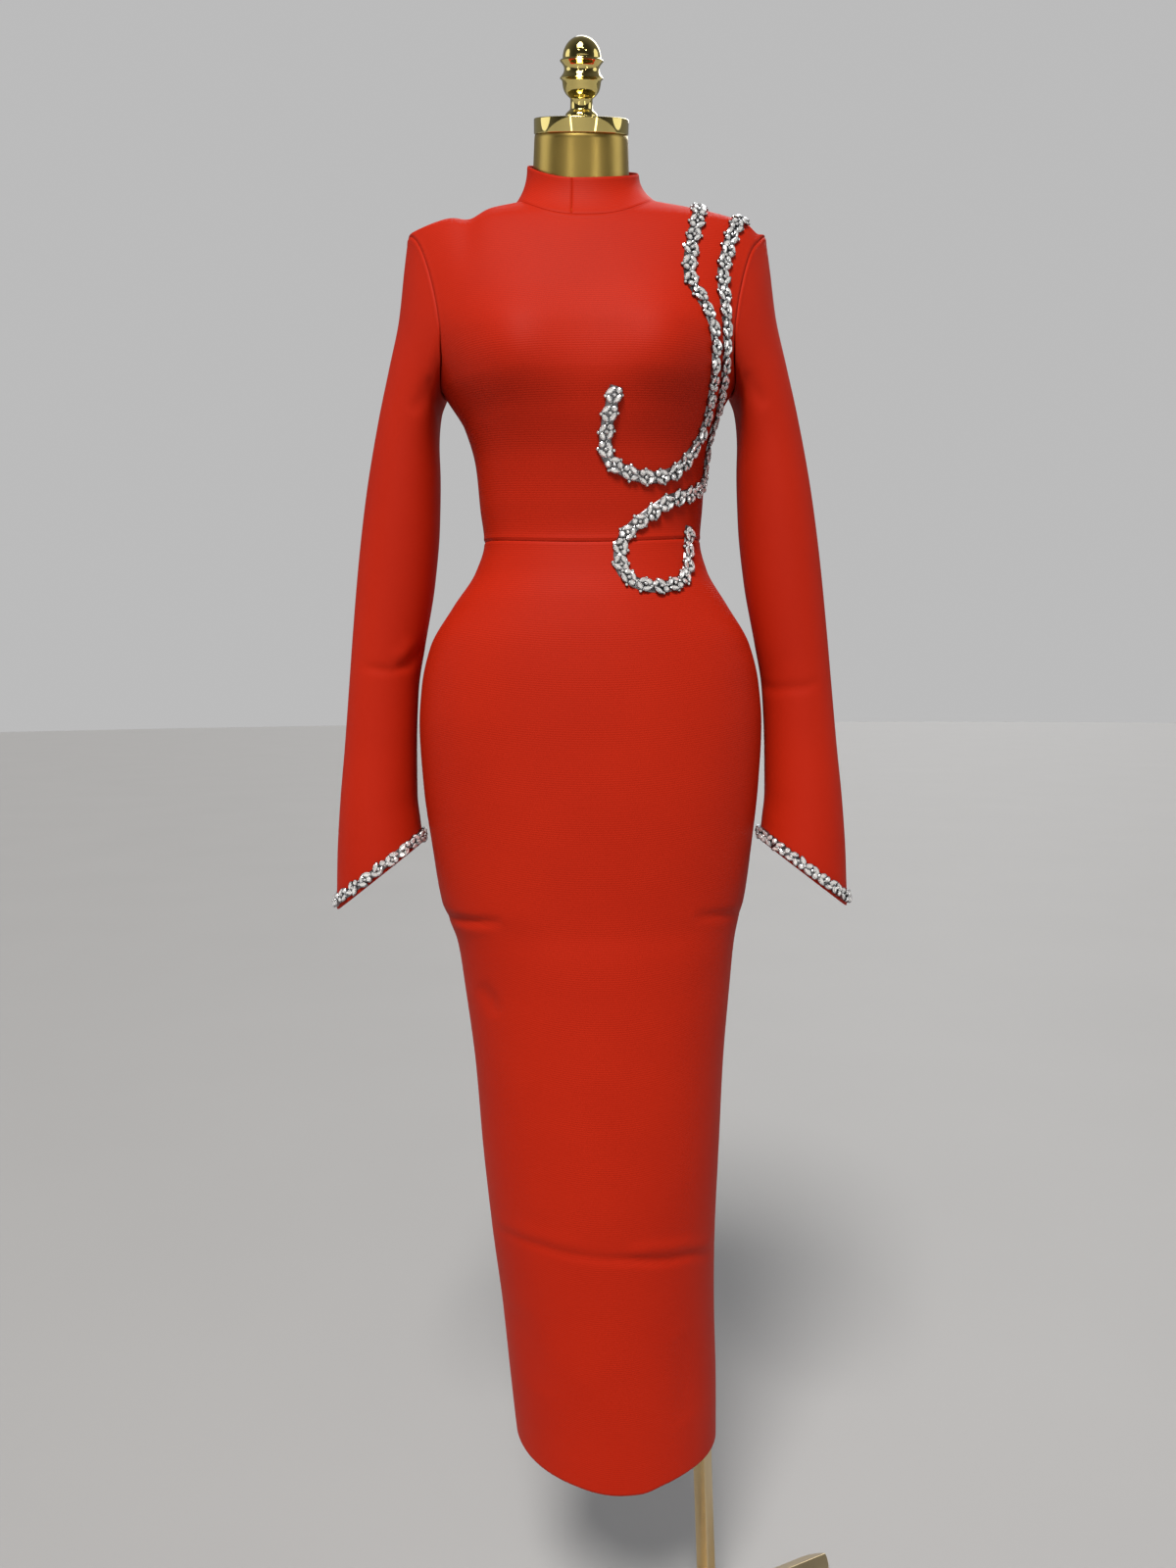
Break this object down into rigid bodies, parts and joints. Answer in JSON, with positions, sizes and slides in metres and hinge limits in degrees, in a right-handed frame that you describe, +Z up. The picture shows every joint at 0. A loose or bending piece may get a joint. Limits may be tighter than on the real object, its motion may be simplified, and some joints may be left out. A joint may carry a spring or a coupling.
{
  "type": "bodycon dress on a limbless dress form with a tripod stand",
  "caption": "Long-sleeved high-neck bodycon midi dress with crystal trims, worn on a limbless gold dress form with a neck cap and finial on a tripod stand.",
  "frame": {"origin": "on the floor, under the centre of the stand's hub", "axes": "+Z up, -Y towards the front of the dress, +X towards the wearer's left"},
  "size_m": [0.5366, 0.4566, 1.6294],
  "materials": {
    "knit": "red ribbed bandage knit",
    "crystal": "clear faceted stones set close together",
    "zip_tape": "woven tape in the knit's red",
    "zip_metal": "polished gold-coloured metal",
    "form_gold": "satin gold lacquer",
    "bright_gold": "polished gold plating",
    "stand_gold": "pale brushed gold",
    "rubber": "black rubber"
  },
  "bodies": {
    "main": {"bodice_front": "knit", "bodice_back_right": "knit", "bodice_back_left": "knit", "skirt_front": "knit", "skirt_back_right": "knit", "skirt_back_left": "knit", "sleeve_right": "knit", "sleeve_left": "knit", "collar_right": "knit", "collar_left": "knit", "trim_inner": "crystal", "trim_outer": "crystal", "trim_cuff_right": "crystal", "trim_cuff_left": "crystal", "zip_tape": "zip_tape", "zip_slider": "zip_metal", "form_torso": "form_gold", "neck_cap": "bright_gold", "finial": "bright_gold", "post": "stand_gold", "post_socket": "stand_gold", "post_foot": "stand_gold", "hub": "stand_gold", "leg_right": "stand_gold", "leg_left": "stand_gold", "leg_front": "stand_gold", "pad_hub": "rubber", "pad_right": "rubber", "pad_left": "rubber", "pad_front": "rubber"},
    "pull": {"zip_pull": "zip_metal"}
  },
  "joints": [
    {"name": "zip_pull_hinge", "type": "hinge", "parent": "main", "child": "pull", "pos_m": [0.00918, 0.11588, 1.54139], "axis": [1, 0, 0], "range_deg": [0, 150]}
  ]
}
